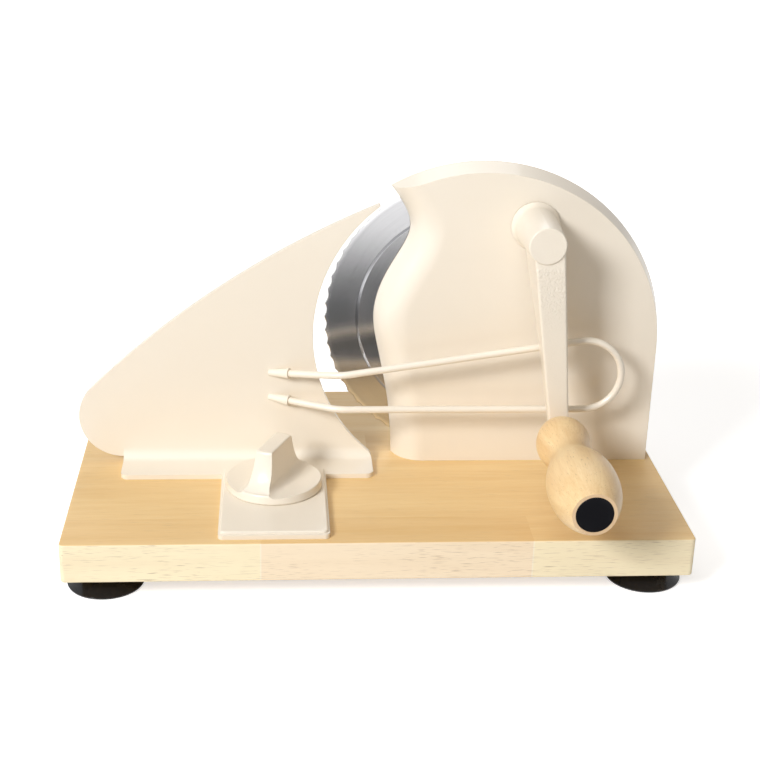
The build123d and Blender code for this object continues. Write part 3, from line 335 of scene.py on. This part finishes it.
def turned_wood():
    """Pale wood with its grain along Y and faint rings from the lathe."""
    finish = empty_finish("lacquered turned grip")
    grain = noise(finish, place(finish, (95.0, 9.0, 95.0), (0.4, 0.2, 0.9)), 1.0, 5.0, 0.6, 0.4)
    fine = noise(finish, place(finish, (1300.0, 60.0, 1300.0)), 1.0, 2.0)
    tone = sums(finish, "ADD", grain, sums(finish, "MULTIPLY", fine, 0.25))
    wood = blend_colours(finish, between(finish, tone, 0.45, 0.85), GRIP_LIGHT, GRIP_DEEP)
    specks = noise(finish, place(finish, (1900.0, 210.0, 1900.0)), 1.0, 1.0)
    specks = between(finish, specks, 0.66, 0.76)
    wood = blend_colours(finish, sums(finish, "MULTIPLY", specks, 0.6), wood, FLECK)
    # the front end shows browner end grain
    facing = parts_of(finish, node(finish, "NewGeometry").outputs["Normal"])
    end = between(finish, facing[1], -0.93, -0.98)
    wood = blend_colours(finish, sums(finish, "MULTIPLY", end, 0.6), wood, GRIP_END)
    rings = node(
        finish, "TexWave", {"bands_direction": "Y"}, Vector=place(finish), Scale=260.0,
        Distortion=0.6, Detail=1.0,
    )
    skin = relief(finish, rings.outputs["Fac"], 0.25, 0.00002)
    skin = relief(finish, specks, 0.5, -0.00006, skin)
    shader = node(
        finish, "BsdfPrincipled", Base_Color=wood, Roughness=0.42, Normal=skin,
        Coat_Weight=0.2, Coat_Roughness=0.28,
    )
    return seal(finish, shader)


grip_wood = turned_wood()
print("grip:", grip_wood.name)

# %% [markdown]
# ## Steel
# The blade is ground while it spins, so its marks are circles round the axle:
# the distance from the axle, fed to a fine noise, gives them. The wheel, shafts
# and screws are machined or plated, the bushes and washers are bronze, and all of
# them only need a fine even grain.


# %% Ground blade
BLADE_LIGHT = (0.56, 0.56, 0.57, 1.0)
BLADE_DARK = (0.52, 0.52, 0.53, 1.0)
# painted shade: the dark line along the blade's step
BLADE_STEP_SHADE = (0.24, 0.24, 0.25, 1.0)
# painted highlight: the bright sharpened rim of the blade
BLADE_RIM_HIGHLIGHT = (0.84, 0.84, 0.85, 1.0)
GRINDING_STARTS = 0.0720


def ring_noise(finish, reach, scale, detail):
    """Cloudy values that change only with the distance from the axle."""
    made = node(
        finish, "TexNoise", {"noise_dimensions": "1D"}, W=reach, Scale=scale, Detail=detail,
    )
    return made.outputs[0]


def ground_blade(axle_x, axle_z, rim_radius):
    """Stainless steel with circular grinding marks round the axle."""
    finish = empty_finish("ground blade steel")
    where = place(finish, shift=(-axle_x, 0.0, -axle_z))
    flat = node(finish, "VectorMath", {"operation": "MULTIPLY"}, i0=where, i1=(1.0, 0.0, 1.0))
    reach = distance(finish, flat.outputs[0])
    marks = ring_noise(finish, reach, 2600.0, 3.0)
    broad = between(finish, ring_noise(finish, reach, 240.0, 2.0), 0.3, 0.7)
    colour = blend_colours(finish, broad, BLADE_LIGHT, BLADE_DARK)
    # painted shade: a thin dark line is painted where the grinding starts, in place of the shade
    # along the step
    line = between(finish, gap(finish, reach, GRINDING_STARTS), 0.0006, 0.0010, 0.8, 0.0)
    colour = blend_colours(finish, line, colour, BLADE_STEP_SHADE)
    # painted highlight: the sharpened rim is painted brighter than the body, in place of the
    # light its bevel reflects
    rim = between(finish, reach, rim_radius - 0.0035, rim_radius - 0.0015, 0.0, 0.7)
    colour = blend_colours(finish, rim, colour, BLADE_RIM_HIGHLIGHT)
    skin = relief(finish, marks, 0.25, 0.000003, soft_edges(finish, 0.0002))
    smear = sums(finish, "MULTIPLY", noise(finish, where, 30.0, 3.0), 0.6)
    dullness = between(finish, sums(finish, "ADD", marks, smear), 0.4, 1.2, 0.15, 0.26)
    shader = node(
        finish, "BsdfPrincipled", Base_Color=colour, Roughness=dullness, Normal=skin,
        Metallic=1.0,
    )
    return seal(finish, shader)


blade_low, blade_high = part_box("blade")
blade_radius = (blade_high[0] - blade_low[0]) / 2
blade_steel = ground_blade(
    (blade_low[0] + blade_high[0]) / 2, (blade_low[2] + blade_high[2]) / 2, blade_radius
)
print("blade radius:", round(blade_radius, 4))


# %% Machined steel, zinc, bronze
def plain_metal(name, light, dark, least_dull, most_dull):
    """Metal with a fine grain and a cloudy tarnish between two tones."""
    finish = empty_finish(name)
    where = place(finish)
    clouds = between(finish, noise(finish, where, 90.0, 4.0), 0.35, 0.65)
    colour = blend_colours(finish, clouds, light, dark)
    grain = noise(finish, where, 2600.0, 2.0)
    skin = relief(finish, grain, 0.4, 0.00001, soft_edges(finish, 0.00025))
    dullness = between(finish, grain, 0.3, 0.7, least_dull, most_dull)
    shader = node(
        finish, "BsdfPrincipled", Base_Color=colour, Roughness=dullness, Normal=skin,
        Metallic=1.0,
    )
    return seal(finish, shader)


machined = plain_metal("machined steel", (0.58, 0.58, 0.59, 1), (0.42, 0.42, 0.43, 1), 0.26, 0.42)
zinc = plain_metal("zinc plate", (0.70, 0.70, 0.67, 1), (0.58, 0.58, 0.56, 1), 0.28, 0.45)
bronze = plain_metal("sintered bronze", (0.60, 0.40, 0.19, 1), (0.42, 0.26, 0.11, 1), 0.38, 0.55)
print("metals:", machined.name, zinc.name, bronze.name)

# %% [markdown]
# ## Rubber and plastic
# The suction cups are moulded glossy black rubber, dusty in places. The cap in
# the grip's end is a satin plastic, and the small gear is natural nylon.


# %% Moulded finishes
def moulded(name, colour, dusty, least_dull, texture_scale, texture_height, coat, shine):
    """Rubber or plastic: faint moulding texture and a little dust."""
    finish = empty_finish(name)
    where = place(finish)
    dust = between(finish, noise(finish, where, 55.0, 5.0, 0.6), 0.5, 0.75, 0.0, 0.5)
    paint = blend_colours(finish, dust, colour, dusty)
    grain = noise(finish, where, texture_scale, 2.0)
    skin = relief(finish, grain, 0.6, texture_height, soft_edges(finish, 0.0004))
    dullness = between(finish, dust, 0.0, 0.5, least_dull, least_dull + 0.18)
    shader = node(
        finish, "BsdfPrincipled", Base_Color=paint, Roughness=dullness, Normal=skin,
        Coat_Weight=coat, Coat_Roughness=0.12, Specular_IOR_Level=shine,
    )
    return seal(finish, shader)


rubber = moulded(
    "black rubber", (0.010, 0.010, 0.011, 1), (0.028, 0.027, 0.026, 1),
    least_dull=0.20, texture_scale=900.0, texture_height=0.00001, coat=0.12, shine=0.28,
)
black_plastic = moulded(
    "satin black plastic", (0.006, 0.006, 0.008, 1), (0.012, 0.012, 0.014, 1),
    least_dull=0.40, texture_scale=1500.0, texture_height=0.00003, coat=0.0, shine=0.18,
)
nylon = moulded(
    "natural nylon", (0.78, 0.76, 0.70, 1), (0.66, 0.63, 0.55, 1),
    least_dull=0.45, texture_scale=700.0, texture_height=0.00002, coat=0.0, shine=0.5,
)
print("moulded:", rubber.name, black_plastic.name, nylon.name)

# %% [markdown]
# ## Dressing the pieces
# Each solid gets its finish by name. The list reads like a parts list, and a
# check stops the lesson if one piece was forgotten.

# %% Finish of each piece
dressing = {
    "base_board": beech,
    "clamp_knob": cast_enamel,
    "crank": hammered_enamel,
    "grip": grip_wood,
    "grip_cap": black_plastic,
    "blade": blade_steel,
    "pinion": nylon,
}
dressed_alike = (
    (smooth_enamel, ("housing", "guide_plate", "wire_guard")),
    (rubber, ("foot_front_left", "foot_front_right", "foot_rear_left", "foot_rear_right")),
    (machined, ("blade_gear", "blade_axle", "gear_rivets")),
    (machined, ("crank_shaft", "grip_spindle", "slide_key")),
    (bronze, ("blade_bush", "crank_bush", "thrust_washer", "shaft_washer")),
    (zinc, ("foot_screws", "housing_screws", "blade_screw", "pinion_screw")),
    (zinc, ("crank_set_screw", "grip_washer", "clamp_washer", "clamp_stud", "tee_nut")),
)
for finish, pieces in dressed_alike:
    for name in pieces:
        dressing[name] = finish

forgotten = sorted(set(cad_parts) - set(dressing))
assert not forgotten, forgotten
for name, finish in dressing.items():
    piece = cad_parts[name]
    if not piece.material_slots:
        piece.data.materials.append(finish)
    for slot in piece.material_slots:
        slot.material = finish
print("dressed", len(dressing), "pieces")

# %% [markdown]
# ## Floor, lamps and world
# A product picture of this kind has a white ground and soft lamps: a strong key
# from the left and above, and weak ones from the right, above and behind. The
# floor is white to the camera and still takes the machine's shadow. A dark card
# that only shiny surfaces see gives the blade its dark part.


# %% Studio floor and dark card
def studio_floor():
    """A wide pale floor, lifted to white for the camera, less so near the machine."""
    bpy.ops.mesh.primitive_plane_add(size=16.0, location=(0.0, 0.0, -0.0002))
    floor = bpy.context.object
    floor.name = "studio_floor"
    finish = empty_finish("studio floor")
    rays = node(finish, "LightPath").outputs
    seen = sums(finish, "MAXIMUM", rays["Is Camera Ray"], rays["Is Glossy Ray"])
    seen = sums(finish, "MAXIMUM", seen, rays["Is Transmission Ray"])
    grain = noise(finish, place(finish), 3.0, 2.0)
    paint = blend_colours(finish, grain, (0.80, 0.80, 0.80, 1), (0.82, 0.82, 0.82, 1))
    shader = node(
        finish, "BsdfPrincipled", Base_Color=paint, Roughness=0.9,
        Emission_Color=(1.0, 1.0, 1.0, 1.0),
    )
    lift = between(finish, distance(finish, place(finish)), 0.4, 1.5, 0.60, 1.1)
    glow = sums(finish, "MULTIPLY", seen, lift)
    finish.node_tree.links.new(glow, shader.inputs["Emission Strength"])
    floor.data.materials.append(seal(finish, shader))


def dark_card():
    """A dark card on the floor that only shiny surfaces see, to shade the blade."""
    bpy.ops.mesh.primitive_plane_add(size=1.0, location=(0.0, -0.38, 0.0004))
    card = bpy.context.object
    card.name = "dark_card"
    card.scale = (1.0, 0.46, 1.0)
    finish = empty_finish("dark card")
    weave = noise(finish, place(finish), 60.0, 2.0)
    paint = blend_colours(finish, weave, (0.03, 0.03, 0.03, 1), (0.05, 0.05, 0.05, 1))
    shader = node(finish, "BsdfPrincipled", Base_Color=paint, Roughness=0.9)
    card.data.materials.append(seal(finish, shader))
    card.visible_camera = False
    card.visible_diffuse = False
    card.visible_shadow = False
    card.visible_transmission = False


studio_floor()
dark_card()
print("floor and card laid")

# %% Lamps
LAMP_TARGET = Vector((0.0, 0.0, 0.10))
LAMPS = {  # where it stands, width, power, tint
    "key_lamp": ((-1.35, -1.55, 1.31), 0.62, 49.0, (0.985, 1.0, 1.03)),
    "fill_lamp": ((1.1, -0.9, 0.7), 1.2, 1.0, (1.0, 0.93, 0.82)),
    "top_lamp": ((-0.25, -0.3, 1.6), 0.8, 4.0, (0.99, 1.0, 1.02)),
    "back_lamp": ((0.1, 1.3, 1.3), 1.0, 6.0, (1.0, 1.0, 1.0)),
}

for name, (at, width, power, tint) in LAMPS.items():
    light = bpy.data.lights.new(name, "AREA")
    light.size = width
    light.energy = power
    light.color = tint
    lamp = bpy.data.objects.new(name, light)
    bpy.context.scene.collection.objects.link(lamp)
    look = (LAMP_TARGET - Vector(at)).to_track_quat("-Z", "Y")
    lamp.matrix_world = Matrix.Translation(at) @ look.to_matrix().to_4x4()
print("lamps:", sorted(LAMPS))

# %% World
ROOM_STRENGTH = 0.165  # what lights the machine; the camera sees pure white
ROOM_TINT = (1.0, 0.86, 0.70, 1.0)

world = bpy.data.worlds.new("white_room")
bpy.context.scene.world = world
world.use_nodes = True
world.node_tree.nodes.clear()
rays = node(world, "LightPath").outputs
seen = sums(world, "MAXIMUM", rays["Is Camera Ray"], rays["Is Transmission Ray"])
seen = sums(world, "MAXIMUM", seen, rays["Is Glossy Ray"])
strength = between(world, seen, 0.0, 1.0, ROOM_STRENGTH, 1.0)
air = blend_colours(world, seen, ROOM_TINT, (1.0, 1.0, 1.0, 1.0))
sky = node(world, "Background", Color=air, Strength=strength)
node(world, "OutputWorld", Surface=sky.outputs[0])
print("world:", world.name)

# %% [markdown]
# ## Camera
# The picture was taken from a little left of the middle, looking down by about 22
# degrees. Three angles and a place give the camera, written as a matrix so that
# no constraint or tracking is needed.

# %% Camera at the picture's angle
CAMERA_PLACE = (-0.06456, -0.85355, 0.45074)
TURN, TIP, ROLL = -0.0793, 0.3834, 0.0279
LENS_LENGTH = 68.83

swing = Matrix.Rotation(TURN, 3, "Z")
level_right = swing @ Vector((1.0, 0.0, 0.0))
level_up = swing @ Vector((0.0, sin(TIP), cos(TIP)))
ahead = swing @ Vector((0.0, cos(TIP), -sin(TIP)))
right = cos(ROLL) * level_right + sin(ROLL) * level_up
up = cos(ROLL) * level_up - sin(ROLL) * level_right

lens = bpy.data.cameras.new("picture_camera")
lens.lens = LENS_LENGTH
lens.sensor_width = 36.0
camera = bpy.data.objects.new("picture_camera", lens)
bpy.context.scene.collection.objects.link(camera)
aim = Matrix((right, up, -ahead)).transposed()
camera.matrix_world = Matrix.Translation(CAMERA_PLACE) @ aim.to_4x4()
bpy.context.scene.camera = camera
bpy.context.scene.view_settings.view_transform = "Standard"
print("camera at", CAMERA_PLACE, "lens", lens.lens)
